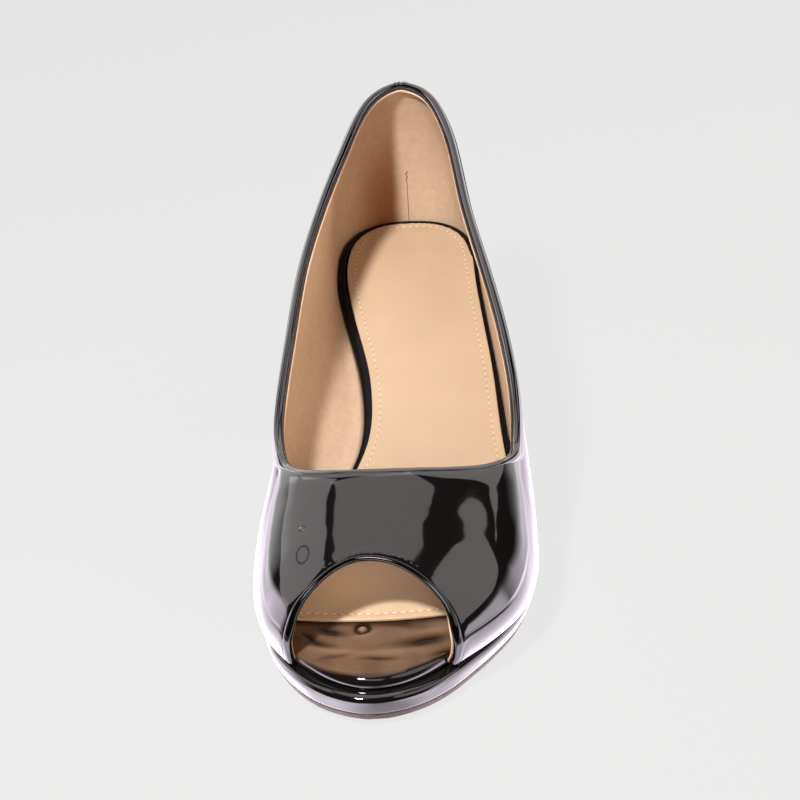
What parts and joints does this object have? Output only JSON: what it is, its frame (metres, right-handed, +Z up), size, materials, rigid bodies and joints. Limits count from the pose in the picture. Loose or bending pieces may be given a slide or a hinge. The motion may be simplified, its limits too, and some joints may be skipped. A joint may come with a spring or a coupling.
{
  "type": "wedge shoe",
  "caption": "Left peep-toe wedge pump: hollow glossy upper open at collar, toe and sole side, on a wrapped insole, platform wedge and thin outsole.",
  "frame": {"origin": "on the floor, below the centre of the shoe's bounding box", "axes": "+Z up, -Y towards the toe, +X towards the outer side of the left foot"},
  "size_m": [0.0912, 0.2378, 0.1169],
  "materials": {
    "outsole": "dark brown, matt",
    "wedge": "black patent, high gloss",
    "insole": "black patent, high gloss",
    "sock": "tan, smooth",
    "upper": "black patent, high gloss, tan lining"
  },
  "bodies": {
    "root": {"outsole": "outsole", "wedge": "wedge", "insole": "insole", "sock": "sock", "upper": "upper"}
  },
  "joints": []
}
